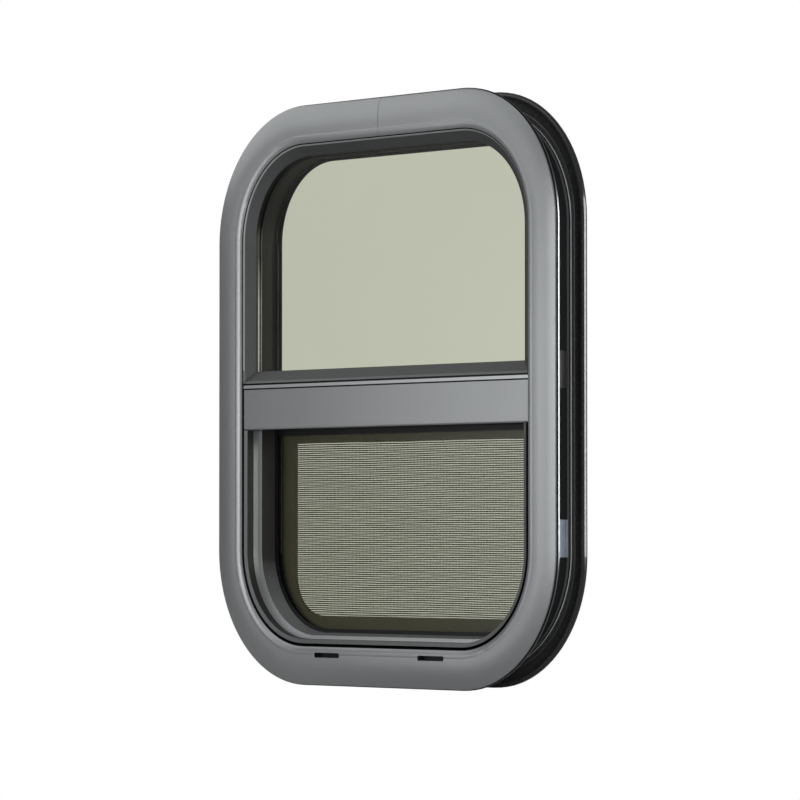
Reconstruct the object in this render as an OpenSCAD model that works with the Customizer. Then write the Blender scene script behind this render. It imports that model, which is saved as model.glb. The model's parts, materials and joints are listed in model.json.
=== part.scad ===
// Radius-cornered caravan window with a fixed upper pane, a crossbar, a vertical sliding lower pane
// and an insect screen inside it. The outside of the caravan is towards -Y and the room towards +Y.
// Y = 0 is the plane where the flange lies on the caravan's outer skin, and X = Z = 0 is the centre.
// In every profile below, the first number is the distance in from the window's outer edge and the
// second is the height in front of the Y = 0 plane, so that parts behind the wall skin are negative.

/* [Outer frame] */
// Overall width over the flange
frame_w = 495; // [420:1:620]
// Overall height over the flange
frame_h = 571; // [520:1:760]
// Radius of the flange's corners
corner_r = 132; // [110:1:150]
// Wall thickness of the bent extrusion
skin = 1.6; // [1.2:0.1:2]
// How far the flange laps over the edge of the wall cut-out
flange_lap = 20; // [16:0.5:22]
// Width of the visible face, from the outer edge to the opening
face_w = 38; // [36:0.5:40]
// Where the crown of the face ends and the inner bead starts
crease_at = 30; // [28:0.5:31]
// Radius of the crowned part of the face
crown_r = 60; // [50:1:80]
// Where the crown stands highest
crown_at = 22; // [18:0.5:24]
// Height of the crown over the wall skin
crown_rise = 7.6; // [7:0.1:9]
// Rounding of the outer edge
edge_r = 2.5; // [2:0.1:2.8]
// Radius of the bead along the inner edge of the face
bead_r = 8.8; // [8:0.1:10]
// Centre of that bead, in from the outer edge
bead_at = 31.5; // [31:0.1:32.5]
// Width of the hairline seam where the two ends of the loop meet at the top
seam_gap = 0.45; // [0.2:0.05:0.6]
// Length of the joining plate inside the seam
joint_len = 70; // [40:1:100]
// Thickness of the joining plate
joint_t = 2.8; // [2:0.1:3.2]
// How far the two ribs at the room end of the sleeve stand out
rib_t = 0.6; // [0.4:0.1:1]

/* [Wall] */
// Thickness of the wall that the flange and the trim ring clamp
wall_t = 34; // [32:0.5:40]

/* [Weep slots] */
// Length of each drain slot
slot_len = 37; // [20:1:50]
// Height of each drain slot
slot_h = 4.8; // [3:0.1:6]
// Rounding of the slots' corners
slot_r = 1.4; // [0.8:0.1:1.6]
// Distance of each slot from the middle of the window
slot_x = 76; // [60:1:95]
// Height of the slots over the flange's lower edge
slot_z = 29.9; // [27:0.1:31]

/* [Jamb] */
// Where the shoulder that holds the glazing bead ends
shoulder_at = 45.2; // [44:0.1:46]
// Depth of that shoulder behind the wall skin
shoulder_y = 4.6; // [4:0.1:5]
// Depth of the rebate that the upper pane lies against
rebate_y = 12.6; // [12.4:0.1:14]
// Width of that rebate
rebate_w = 3.3; // [3:0.1:4]
// Depth of the pocket for the sliding tracks, measured from the room side
pocket_d = 6.5; // [6.2:0.1:7]
// Where the pocket starts
pocket_at = 44.5; // [43:0.1:45]
// How far the jamb leans in towards the room
jamb_lean = 2.5; // [2:0.1:3]

/* [Upper pane] */
// Thickness of the fixed pane
glass_t = 3.2; // [3:0.1:4]
// Depth of the pane's outer face behind the wall skin
glass_y = 7.8; // [7.4:0.1:8]
// Gap between the pane's edge and the jamb
glass_gap = 1.3; // [1:0.1:1.6]
// Width of the glazing bead as seen from outside
bead_w = 12.2; // [11:0.1:13]
// Depth of the bead's inner lip behind the wall skin
bead_y = 3; // [2:0.1:3.2]
// Width of the dark line between the face's inner edge and the bead
bead_step = 1; // [0.4:0.1:1.4]

/* [Crossbar] */
// Lower edge of the bar's face, below the window's centre
bar_low = 33.5; // [28:0.5:35]
// Upper edge of the bar's face, above the window's centre
bar_high = 6.5; // [5:0.5:9]
// Width of the thin strip over the face
strip_w = 3; // [2:0.1:4]
// Width of each groove beside the strip
groove_w = 1.5; // [1:0.1:2]
// Depth of those grooves
groove_d = 2.4; // [1.6:0.1:2.6]
// Height of the bar's face in front of the wall skin
bar_front = 3; // [2:0.1:4]
// Depth of the bar behind the wall skin
bar_depth = 26; // [24:0.1:26.3]
// Rounding of the lower front edge of the bar
bar_r = 2; // [1:0.1:3]
// Width of the notch between each end of the bar's face and the jamb
notch_w = 1.3; // [0.8:0.1:2]
// Depth of that notch
notch_d = 1.5; // [1.2:0.1:1.6]

/* [Lower bead] */
// Width of the dark groove between the face and the bead round the lower opening
low_gap = 2.7; // [2.4:0.1:3]
// Height of that bead's front over the wall skin
low_bead_h = 4.2; // [3:0.1:4.6]
// Rounding of its inner edge
low_bead_r = 1; // [0.6:0.1:1.4]

/* [Sliding pane] */
// Thickness of the sliding pane
pane_t = 3.2; // [3:0.1:3.4]
// Where the front lips of the side tracks and the sill channel end, in from the outer edge
track_lip = 54.8; // [54:0.1:56]
// Where the head channel's front lip ends, in from the outer edge
head_lip = 53; // [52.6:0.1:54]
// Where the room-side lips of all the channels end, in from the outer edge
back_lip = 53; // [52:0.1:54]
// Thickness of the tracks' legs
track_t = 1.3; // [1.1:0.1:1.4]
// How far the sliding pane's edge stands in from the outer edge
pane_in = 47.8; // [47.4:0.1:49]
// Lower edge of the sash rail, below the centre
rail_low = 39; // [37:0.5:42]
// Upper edge of the sash rail, below the centre
rail_high = 6; // [4:0.5:10]
// Length of the finger pull
pull_len = 150; // [90:1:220]
// Height of the finger pull's plate
pull_h = 14; // [12:0.5:18]
// How far the finger pull stands off the rail
pull_d = 10; // [9:0.5:14]
// Length of each latch
latch_len = 42; // [38:1:55]
// Height of each latch
latch_h = 13; // [12:0.5:16]

/* [Insect screen] */
// Width of the screen frame's bars
screen_w = 22; // [16:0.5:22]
// Thickness of the screen frame's bars
screen_t = 5; // [4.6:0.1:6]
// Side bars' outer edge, in from the window's outer edge
screen_side = 50; // [48:0.5:52]
// Bottom bar's outer edge, in from the window's outer edge
screen_foot = 45.4; // [44:0.1:48]
// Top bar's outer edge, below the window's centre
screen_top = 25; // [24:0.5:28]
// Radius of the screen's lower corners at the opening
screen_r = 40; // [30:1:50]
// Width of the spline groove
spline_w = 3.2; // [2.6:0.1:4]
// Width of the land between the opening and the spline groove
land_w = 2.2; // [1.6:0.1:3]
// Distance of each pull tab from the middle of the window
tab_x = 60; // [30:1:90]
// Width of each pull tab
tab_w = 14; // [10:0.5:20]
// Height of each pull tab
tab_h = 11; // [9:0.5:14]
// Width of each turn clip
turn_clip_w = 12; // [9:0.5:15]

/* [Trim ring] */
// How far the ring's outer edge stands in from the flange's edge
ring_in = 2.3; // [0:0.1:6]
// Radius of the ring's outer corners
ring_corner = 125; // [118:0.5:129]
// Width of the ring's raised moulding
ring_w = 18.3; // [16:0.1:18.6]
// Depth of the raised moulding
ring_d = 5.4; // [4.8:0.1:7]
// Rounding of the moulding's edges
ring_r = 3; // [2:0.1:3.4]
// Thickness of the ring's metal
ring_t = 1.8; // [1.4:0.1:2]
// Inner edge of the ring's screw leg, in from the window's outer edge
ring_leg = 44.2; // [40:0.1:44.2]

/* [Sleeve clips] */
// Length of each clip
clip_len = 35; // [25:1:45]
// Depth of each clip along the sleeve
clip_d = 16; // [8:0.5:20]
// How far a clip stands off the sleeve
clip_t = 2.2; // [1.5:0.1:4]
// Heights of the clips' middles
clip_z = [16, -141.5];

/* [Hidden] */
$fn = 96;

half_w = frame_w / 2;
half_h = frame_h / 2;
corner_x = half_w - corner_r;
corner_z = half_h - corner_r;
cut = 60;              // reach of a cutting block past the part
fit_gap = 0.15;        // running gap between glued or snapped parts
clear = 0.3;           // gap between loose parts

// Centre and end heights of the crowned face
crown_c = crown_rise - crown_r;
edge_stand = 0.02;     // the edge rounding stands this much proud, so that it crosses the crown cleanly
edge_c = crown_c + sqrt(pow(crown_r - edge_r + edge_stand, 2) - pow(crown_at - edge_r, 2));
edge_at = crown_at - (crown_at - edge_r) * crown_r / (crown_r - edge_r);
crease_h = crown_c + sqrt(pow(crown_r, 2) - pow(crease_at - crown_at, 2));
bead_c = crease_h - sqrt(pow(bead_r, 2) - pow(crease_at - bead_at, 2));
face_h = bead_c + sqrt(pow(bead_r, 2) - pow(face_w - bead_at, 2));

// Jamb outline from the face's inner edge to the room side
rebate_at = shoulder_at + rebate_w;
pocket_y = wall_t - pocket_d;
jamb_at = rebate_at + jamb_lean;
lip_in = 0.5;          // undercut behind the face's inner edge
lip_h = 2.2;           // height of that undercut over the wall skin
ramp_at = face_w + 3;          // where the ramp behind the face meets the shoulder
low_bead_at = face_w + low_gap;
ramp_y = 3.5;
jamb_line = [
    [face_w - 1, face_h - 0.3],
    [face_w + lip_in, lip_h],
    [ramp_at, -ramp_y],
    [shoulder_at, -shoulder_y],
    [shoulder_at, -rebate_y],
    [rebate_at, -rebate_y],
    [jamb_at, -pocket_y]
];

// Outside of the sleeve from the room side to the flange, with the two ribs
sleeve_line = [
    [flange_lap - rib_t, -wall_t],
    [flange_lap - rib_t, -wall_t + 1.4],
    [flange_lap, -wall_t + 1.4],
    [flange_lap, -wall_t + 3.2],
    [flange_lap - rib_t, -wall_t + 3.2],
    [flange_lap - rib_t, -wall_t + 6.2],
    [flange_lap, -wall_t + 6.2],
    [flange_lap, skin]
];

// Sliding tracks lie in the pocket
track_out = pocket_at + 0.2;
track_front = pocket_y + clear;
track_back = wall_t + 1.2;
web_t = 1.4;
pane_y = track_front + track_t + 0.6;

// Crossbar heights: its top repeats the jamb's rebate, with the face's inner edge at bar_top
bar_top = bar_high + 2 * groove_w + strip_w;
function bar_z(o) = bar_top + o - face_w;

// Screen and spline depths
screen_y = track_back + 1;
mesh_t = 0.4;
mesh_y = screen_y + screen_t - 1.2;
spline_d = 3;

// Ring screws: places along the loop, in from the outer edge
screw_in = 31;
screw_r = 1.6;
head_r = 3.4;
head_t = 1.8;
screw_len = 10;
port_t = 1.2;
port_d = 6;
screw_x = 70;
screw_z = 110;

// Helpers for profiles

function cross2(a, b) = a[0] * b[1] - a[1] * b[0];
function unit(v) = v / norm(v);
function left_of(v) = [-v[1], v[0]];
function meet(p, d, q, e) = p + d * cross2(q - p, e) / cross2(d, e);
// Outline moved in by t; its points run counter-clockwise
function inset(pts, t) = let (n = len(pts)) [
    for (i = [0:n - 1])
        let (
            a = pts[(i + n - 1) % n],
            b = pts[i],
            c = pts[(i + 1) % n],
            d = unit(b - a),
            e = unit(c - b)
        )
        meet(b + left_of(d) * t, d, b + left_of(e) * t, e)
];

// Turns a shape drawn in X and Z, with its height towards the outside, into place
module upright() {
    rotate([90, 0, 0]) children();
}

// Plate between two depths, drawn in X and Z
module plate(y0, y1) {
    translate([0, y1, 0]) rotate([90, 0, 0]) linear_extrude(y1 - y0) children();
}

// A profile drawn inwards from the edge, turned to run outwards from a corner's centre
module from_edge(r) {
    translate([r, 0]) mirror([1, 0]) children();
}

// Quarter turn, straight side and straight end of a loop of width w, height h and corner radius r
module corner(turn, w = frame_w, h = frame_h, r = corner_r) {
    sx = turn == 0 || turn == 270 ? 1 : -1;
    sz = turn < 180 ? 1 : -1;
    translate([sx * (w / 2 - r), sz * (h / 2 - r), 0]) rotate(turn)
        rotate_extrude(angle = 90) from_edge(r) children();
}

module side_run(sx, z0, z1, w = frame_w, r = corner_r) {
    translate([sx * (w / 2 - r), sx > 0 ? z1 : z0, 0]) rotate(sx > 0 ? 0 : 180)
        rotate([90, 0, 0]) linear_extrude(z1 - z0) from_edge(r) children();
}

module end_run(sz, w = frame_w, h = frame_h, r = corner_r) {
    translate([-sz * (w / 2 - r), sz * (h / 2 - r), 0]) rotate(sz * 90)
        rotate([90, 0, 0]) linear_extrude(w - 2 * r) from_edge(r) children();
}

module whole_loop(w = frame_w, h = frame_h, r = corner_r) {
    upright() {
        for (turn = [0:90:270]) corner(turn, w, h, r) children();
        for (sx = [-1, 1]) side_run(sx, r - h / 2, h / 2 - r, w, r) children();
        for (sz = [-1, 1]) end_run(sz, w, h, r) children();
    }
}

module head_loop() {
    upright() {
        for (turn = [0, 90]) corner(turn) children();
        end_run(1) children();
    }
}

module sill_loop() {
    upright() {
        for (turn = [180, 270]) corner(turn) children();
        end_run(-1) children();
    }
}

// Outline of the window moved in by o
module inner_outline(o) {
    r = corner_r - o;
    for (sx = [-1, 1], sz = [-1, 1]) translate([sx * corner_x, sz * corner_z]) circle(r);
    square([2 * corner_x, 2 * (half_h - o)], center = true);
    square([2 * (half_w - o), 2 * corner_z], center = true);
}

// Outline of the upper opening, with square corners on the crossbar
module upper_outline(o) {
    intersection() {
        inner_outline(o);
        translate([-half_w, bar_z(o)]) square([frame_w, half_h]);
    }
}

// Outline with two rounded lower corners and two square upper ones
module foot_outline(half, low, high, r) {
    for (sx = [-1, 1]) translate([sx * (half - r), low + r]) circle(r);
    translate([-half + r, low]) square([2 * (half - r), r]);
    translate([-half, low + r]) square([2 * half, high - low - r]);
}

module block(x0, x1, y0, y1, z0, z1) {
    translate([x0, y0, z0]) cube([x1 - x0, y1 - y0, z1 - z0]);
}

// Outer frame: one hollow extrusion bent into a loop

// Crowned face with its bead, moved in by t
module face_shape(t) {
    translate([edge_r, edge_c]) circle(edge_r - t);
    intersection() {
        translate([crown_at, crown_c]) circle(crown_r - t);
        translate([edge_at, 0]) square([crease_at + 0.5 - edge_at, crown_r]);
    }
    intersection() {
        translate([bead_at, bead_c]) circle(bead_r - t);
        translate([crease_at - 0.5, 0]) square([face_w - crease_at + 0.5 - t, crown_r]);
    }
    translate([t, 0]) square([crown_at, edge_c]);
}

module face_region(t, floor_h) {
    intersection() {
        face_shape(t);
        translate([0, floor_h]) square([face_w, crown_r]);
    }
}

module frame_profile() {
    difference() {
        union() {
            face_region(0, 0);
            polygon(concat(
                jamb_line,
                [[pocket_at, -pocket_y], [pocket_at, -wall_t]],
                sleeve_line
            ));
        }
        face_region(skin, skin);
        rear_chamber();
    }
}

// Hollow behind the face, with two ribs that form the port for the trim ring's screws
module rear_chamber() {
    difference() {
        polygon(inset([
            [flange_lap, skin],
            [flange_lap, -wall_t],
            [pocket_at, -wall_t],
            [pocket_at, -pocket_y],
            [jamb_at, -pocket_y],
            [rebate_at, -rebate_y],
            [shoulder_at, -rebate_y],
            [shoulder_at, -shoulder_y],
            [ramp_at, -ramp_y],
            [face_w + lip_in / 2, skin]
        ], skin));
        for (side = [-1, 1])
            translate([screw_in + side * (screw_r + clear + port_t / 2) - port_t / 2, -wall_t])
                square([port_t, skin + port_d]);
    }
}

module slot_shape() {
    for (sx = [-1, 1], sz = [-1, 1])
        translate([sx * (slot_len / 2 - slot_r), sz * (slot_h / 2 - slot_r)]) circle(slot_r);
    square([slot_len - 2 * slot_r, slot_h], center = true);
    square([slot_len, slot_h - 2 * slot_r], center = true);
}

// Places of the trim ring's screws, each turned so that +X there points to the outer edge
module at_screws() {
    for (sx = [-1, 1], z = [-screw_z, 0, screw_z]) translate([sx * (half_w - screw_in), 0, z]) children();
    for (sz = [-1, 1], x = [-screw_x, screw_x]) translate([x, 0, sz * (half_h - screw_in)]) children();
    reach = (corner_r - screw_in) / sqrt(2);
    for (sx = [-1, 1], sz = [-1, 1])
        translate([sx * (corner_x + reach), 0, sz * (corner_z + reach)]) children();
}

module screw_bores(r) {
    at_screws() translate([0, wall_t + cut, 0]) rotate([90, 0, 0]) cylinder(r = r, h = cut + skin + 1);
}

module outer_frame() {
    color("slategray") difference() {
        whole_loop() frame_profile();
        for (sx = [-1, 1])
            translate([sx * slot_x, 0, slot_z - half_h]) plate(-crown_rise - 1, -skin - 1) slot_shape();
        block(-seam_gap / 2, seam_gap / 2, -cut, cut, half_h - 2 * face_w, half_h + 1);
        screw_bores(screw_r + fit_gap);
    }
}

module frame_joint_plate() {
    // The plate is held under the crown, where the chamber is high enough for it
    far = crown_at - sqrt(pow(crown_r - skin, 2) - pow(skin + joint_t + fit_gap - crown_c, 2));
    color("silver") block(-joint_len / 2, joint_len / 2, -skin - joint_t, -skin, half_h - crease_at, half_h - far);
}

// Upper pane, its gasket and its bead

gasket_out = shoulder_at + fit_gap;
gasket_in = face_w + bead_w + 0.2;
glass_in = shoulder_at + glass_gap;

module upper_glass() {
    color([0.55, 0.58, 0.5, 0.6]) plate(glass_y, glass_y + glass_t) upper_outline(glass_in);
}

module gasket_ring(out, in, y0, y1) {
    plate(y0, y1) difference() {
        upper_outline(out);
        upper_outline(in);
    }
}

module upper_glass_gasket() {
    back = glass_y + glass_t;
    color("black") {
        gasket_ring(gasket_out, gasket_in, shoulder_y + clear, glass_y);
        gasket_ring(gasket_out, glass_in, glass_y, back);
        gasket_ring(gasket_out, rebate_at, back, rebate_y - fit_gap);
    }
}

// Sloping glazing bead that covers the gasket; its foot stands a step in from the face's inner edge
function bead_line(step) = [
    [face_w + step, face_h - 0.3],
    [face_w + lip_in + step, lip_h - 0.4],
    [ramp_at + 0.4, -ramp_y + 0.2],
    [shoulder_at, -shoulder_y + fit_gap],
    [face_w + bead_w, -shoulder_y + fit_gap],
    [face_w + bead_w, -bead_y]
];

// Prism that cuts the bead's side run off at 45 degrees above the crossbar
module mitre_block(grow) {
    foot = bar_z(face_w);
    edge = half_w - face_w;
    plate(-cut, cut) polygon([
        [-edge - cut, foot - cut + grow],
        [-edge + cut, foot + cut + grow],
        [edge - cut, foot + cut + grow],
        [edge + cut, foot - cut + grow]
    ]);
}

module upper_glazing_bead() {
    color("dimgray") {
        head_loop() polygon(bead_line(bead_step));
        difference() {
            upright() for (sx = [-1, 1]) side_run(sx, bar_z(face_w), corner_z) polygon(bead_line(bead_step));
            mitre_block(0);
        }
    }
}

module crossbar_glazing_bead() {
    color("gray") intersection() {
        translate([-half_w, 0, 0]) rotate([90, 0, 90]) linear_extrude(frame_w)
            polygon([for (p = bead_line(clear)) [-p[1], bar_z(p[0])]]);
        mitre_block(-clear);
    }
}

// Crossbar: a hollow bar coped to the jambs

groove_y = groove_d - bar_front;
strip_z = bar_high + groove_w;
bar_line = [
    [-bar_front, strip_z + strip_w],
    [-bar_front, -bar_low + bar_r],
    [-bar_front + bar_r, -bar_low],
    [bar_depth, -bar_low],
    [bar_depth, bar_z(rebate_at)],
    [rebate_y, bar_z(rebate_at)],
    [rebate_y, bar_z(shoulder_at)],
    [shoulder_y, bar_z(shoulder_at)],
    [ramp_y, bar_z(ramp_at)],
    [groove_y, bar_z(face_w + lip_in + (groove_y + lip_h) / (ramp_y + lip_h) * (ramp_at - face_w - lip_in))],
    [groove_y, strip_z + strip_w]
];

module bar_profile() {
    difference() {
        union() {
            polygon(bar_line);
            translate([-bar_front + bar_r, -bar_low + bar_r]) circle(bar_r);
        }
        translate([-cut, bar_high]) square([cut + groove_y, groove_w]);
        bar_chamber();
    }
}

module bar_chamber() {
    polygon(inset([
        [groove_y, bar_top],
        [groove_y, -bar_low],
        [bar_depth, -bar_low],
        [bar_depth, bar_z(rebate_at)],
        [rebate_y, bar_z(rebate_at)],
        [rebate_y, bar_z(shoulder_at)],
        [shoulder_y, bar_z(shoulder_at)]
    ], skin));
}

// Plan of the bar, whose ends follow the jambs from front to back
module bar_plan() {
    back = (bar_depth - rebate_y) / (pocket_y - rebate_y) * jamb_lean;
    pts = [
        [half_w - face_w - clear, -bar_front - 1],
        [half_w - face_w - clear, -lip_h],
        [half_w - face_w - lip_in - clear, -lip_h],
        [half_w - ramp_at - clear, ramp_y],
        [half_w - shoulder_at - clear, ramp_y],
        [half_w - shoulder_at - clear, rebate_y],
        [half_w - rebate_at - clear, rebate_y],
        [half_w - rebate_at - back - clear, bar_depth]
    ];
    polygon(concat(pts, [for (i = [len(pts) - 1:-1:0]) [-pts[i][0], pts[i][1]]]));
}

module along_bar() {
    translate([-half_w, 0, 0]) rotate([90, 0, 90]) linear_extrude(frame_w) children();
}

module crossbar() {
    end = half_w - face_w - clear;
    color("slategray") difference() {
        intersection() {
            along_bar() bar_profile();
            translate([0, 0, -half_h]) linear_extrude(frame_h) bar_plan();
        }
        // Notches between the ends of the bar's face and the jambs
        for (sx = [-1, 1]) mirror([sx < 0 ? 1 : 0, 0, 0])
            block(end - notch_w, half_w, -cut, notch_d - bar_front, -bar_low - 1, strip_z);
    }
}

// Bead round the lower opening, snapped onto the shoulder, with a dark groove between it and the face
module low_bead_profile() {
    polygon([
        [low_bead_at, low_bead_h - 0.4],
        [low_bead_at, -ramp_y / 2],
        [ramp_at + 0.4, -ramp_y + 0.2],
        [shoulder_at, -shoulder_y + fit_gap],
        [shoulder_at, low_bead_h - low_bead_r - 0.6],
        [shoulder_at - low_bead_r, low_bead_h - 0.6],
        [low_bead_at + 0.4, low_bead_h]
    ]);
    translate([shoulder_at - low_bead_r, low_bead_h - low_bead_r - 0.6]) circle(low_bead_r);
}

module lower_opening_bead() {
    color("dimgray") {
        sill_loop() low_bead_profile();
        upright() for (sx = [-1, 1]) side_run(sx, -corner_z, -bar_low - clear) low_bead_profile();
    }
}

key_len = 24;

module crossbar_end_keys() {
    end = half_w - rebate_at - jamb_lean - clear;
    color("black") for (sx = [-1, 1])
        translate([sx * (end - key_len / 2), 0, 0]) rotate([90, 0, 90])
            linear_extrude(key_len, center = true) polygon(inset([
                [groove_y, bar_high],
                [groove_y, -bar_low],
                [bar_depth, -bar_low],
                [bar_depth, bar_high]
            ], skin + clear));
}

pile_w = 6;

module crossbar_pile_seal() {
    reach = half_w - track_lip - 2;
    color("dimgray") block(-reach, reach, bar_depth, rail_front - fit_gap, -rail_high - 3 * pile_w, -rail_high - 2 * pile_w);
}

// Sliding tracks, head and sill channels

module channel_profile(lip) {
    translate([track_out, -track_back]) square([web_t, track_back - track_front]);
    translate([track_out, -track_front - track_t]) square([lip - track_out, track_t]);
    translate([track_out, -track_back]) square([back_lip - track_out, track_t]);
}

module head_channel() {
    color("black") head_loop() channel_profile(head_lip);
}

module side_track(sx) {
    color("black") upright() side_run(sx, -corner_z, corner_z) channel_profile(track_lip);
}

module side_track_left() {
    side_track(-1);
}

module side_track_right() {
    side_track(1);
}

module sill_channel() {
    color("black") sill_loop() channel_profile(track_lip);
}

// Pile strip on each track's inner lip, behind the sliding pane
module track_pile(sx) {
    y0 = pane_y + pane_t + 0.1;
    color("gray") upright() side_run(sx, -corner_z, corner_z)
        translate([track_out + web_t, -track_back + track_t]) square([back_lip - track_out - web_t - 1, track_back - track_t - y0]);
}

module track_pile_left() {
    track_pile(-1);
}

module track_pile_right() {
    track_pile(1);
}

// Sliding pane with its rail, guides, pull and latches

rail_front = bar_depth + 2.3;
rail_back = wall_t + 1;
rail_half = half_w - track_lip - 0.8;
rail_t = 1.6;
grip = 11;             // depth of the slot that holds the pane's upper edge
pane_top = -rail_low + grip;

module sliding_glass() {
    color([0.55, 0.58, 0.5, 0.6]) plate(pane_y, pane_y + pane_t)
        foot_outline(half_w - pane_in, -half_h + pane_in, pane_top, corner_r - pane_in);
}

module sash_rail() {
    color("black") difference() {
        block(-rail_half, rail_half, rail_front, rail_back, -rail_low, -rail_high);
        block(-half_w, half_w, pane_y - fit_gap, pane_y + pane_t + fit_gap, -rail_low - 1, pane_top + fit_gap);
        block(-half_w, half_w, rail_front + rail_t, rail_back - rail_t, pane_top + rail_t, -rail_high - rail_t);
    }
}

module sash_end_guides() {
    z0 = pane_top + rail_t + clear;
    z1 = -rail_high - rail_t - clear;
    color("whitesmoke") for (sx = [-1, 1]) {
        x0 = half_w - pane_in - 20;
        x1 = half_w - pane_in;
        mirror([sx < 0 ? 1 : 0, 0, 0])
            block(x0, x1, rail_front + rail_t + fit_gap, pane_y + pane_t, z0, z1);
    }
}

pull_t = 2;

module sash_pull() {
    z1 = -rail_high - 1;
    half = pull_len / 2;
    color("black") {
        block(-half, half, rail_back, rail_back + pull_t, z1 - pull_h, z1);
        block(-half, half, rail_back + pull_t, rail_back + pull_d, z1 - 2 * pull_t, z1 - pull_t + 0.5);
        block(-half, half, rail_back + pull_d - pull_t, rail_back + pull_d, z1 - 4 * pull_t, z1 - 2 * pull_t);
    }
}

module sash_latch(sx) {
    z1 = -rail_high - 1;
    out = half_w - track_lip - 3;
    color("dimgray") mirror([sx < 0 ? 1 : 0, 0, 0]) difference() {
        union() {
            block(out - latch_len, out, rail_back, rail_back + 5, z1 - latch_h, z1);
            block(out - latch_len + 10, out - latch_len + 22, rail_back + 5, rail_back + 9, z1 - latch_h + 2, z1 - 2);
            translate([out - 1, rail_back + 2.6, z1 - latch_h / 2]) rotate([0, 90, 0]) cylinder(r = 2, h = 10);
        }
        for (x = [out - latch_len + 5, out - 6])
            translate([x, rail_back + 6, z1 - latch_h / 2]) rotate([90, 0, 0]) cylinder(r = 1.6, h = 7);
    }
}

module sash_latch_left() {
    sash_latch(-1);
}

module sash_latch_right() {
    sash_latch(1);
}

// Insect screen

screen_half = half_w - screen_side;
screen_low = -half_h + screen_foot;

module screen_outline(o) {
    r = screen_r + screen_w - o;
    foot_outline(screen_half - o, screen_low + o, -screen_top - o, r);
}

module screen_ring(out, in, y0, y1) {
    plate(y0, y1) difference() {
        screen_outline(out);
        screen_outline(in);
    }
}

groove_in = screen_w - land_w - spline_w;

module screen_frame() {
    back = screen_y + screen_t;
    color("black") difference() {
        union() {
            screen_ring(0, screen_w, screen_y, mesh_y);
            screen_ring(0, groove_in, screen_y, back);
        }
        screen_ring(groove_in, groove_in + spline_w, mesh_y - spline_d, back);
    }
}

module screen_mesh() {
    color([0.45, 0.45, 0.42, 0.7]) plate(mesh_y, mesh_y + mesh_t) screen_outline(screen_w - land_w);
}

module screen_spline() {
    color("black")
        screen_ring(groove_in + fit_gap, groove_in + spline_w - fit_gap, mesh_y - spline_d + fit_gap, mesh_y + mesh_t);
}

module screen_pull_tabs() {
    back = screen_y + screen_t;
    color("black") for (x = [-tab_x, tab_x])
        block(x - tab_w / 2, x + tab_w / 2, back, back + 2.4, -screen_top - 3 - tab_h, -screen_top - 3);
}

// Turn clips that hold the screen, at a quarter and about half of the way down to the lower edge
module screen_clips() {
    leg_back = wall_t + ring_t;
    back = screen_y + screen_t + clear;
    out = half_w - ring_leg + 12;
    over = screen_half - 8;
    t = 1.5;
    color("silver") for (sx = [-1, 1], share = [0.25, 0.525]) mirror([sx < 0 ? 1 : 0, 0, 0]) {
        z0 = -half_h * share - turn_clip_w / 2;
        z1 = z0 + turn_clip_w;
        block(screen_half + 0.5, out, leg_back, leg_back + t, z0, z1);
        block(screen_half + 0.5, screen_half + 0.5 + t, leg_back + t, back, z0, z1);
        block(over, screen_half + 0.5 + t, back, back + t, z0, z1);
    }
}

// Trim ring: raised moulding outside and a flat screw leg inside

module moulding(t) {
    x0 = t;
    x1 = ring_w - t;
    r = ring_r - t;
    y1 = -wall_t - ring_d + t;
    for (x = [x0 + r, x1 - r]) translate([x, y1 + r]) circle(r);
    translate([x0 + r, y1]) square([x1 - x0 - 2 * r, -wall_t - y1]);
    translate([x0, y1 + r]) square([x1 - x0, -wall_t - y1 - r]);
}

module ring_profile() {
    difference() {
        union() {
            moulding(0);
            translate([ring_w - 1, -wall_t - ring_t]) square([ring_leg - ring_in - ring_w + 1, ring_t]);
        }
        moulding(ring_t);
    }
}

module trim_ring() {
    color("black") difference() {
        whole_loop(frame_w - 2 * ring_in, frame_h - 2 * ring_in, ring_corner) ring_profile();
        screw_bores(screw_r + clear);
    }
}

module trim_ring_screws() {
    back = wall_t + ring_t;
    color("silver") at_screws() {
        translate([0, back, 0]) rotate([90, 0, 0]) cylinder(r = screw_r, h = screw_len);
        translate([0, back + head_t, 0]) rotate([90, 0, 0]) cylinder(r1 = head_r * 0.7, r2 = head_r, h = head_t);
    }
}

// Clips on the outside of the sleeve

module sleeve_clips(sx) {
    x0 = half_w - flange_lap;
    y1 = wall_t - 6.5;
    color("silver") mirror([sx < 0 ? 1 : 0, 0, 0]) for (z = clip_z) difference() {
        block(x0, x0 + clip_t, y1 - clip_d, y1, z - clip_len / 2, z + clip_len / 2);
        block(x0 + clip_t - 0.8, x0 + cut, y1 - 4.5, y1 - 3, z - clip_len, z + clip_len);
    }
}

module sleeve_clips_left() {
    sleeve_clips(-1);
}

module sleeve_clips_right() {
    sleeve_clips(1);
}

outer_frame();
frame_joint_plate();
upper_glass();
upper_glass_gasket();
upper_glazing_bead();
crossbar();
crossbar_glazing_bead();
crossbar_end_keys();
crossbar_pile_seal();
lower_opening_bead();
head_channel();
side_track_left();
side_track_right();
sill_channel();
track_pile_left();
track_pile_right();
sliding_glass();
sash_rail();
sash_end_guides();
sash_pull();
sash_latch_left();
sash_latch_right();
screen_frame();
screen_mesh();
screen_spline();
screen_pull_tabs();
screen_clips();
trim_ring();
trim_ring_screws();
sleeve_clips_left();
sleeve_clips_right();
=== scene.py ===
import json
import math
import random

import bpy
import numpy as np
from mathutils import Matrix, Vector


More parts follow.
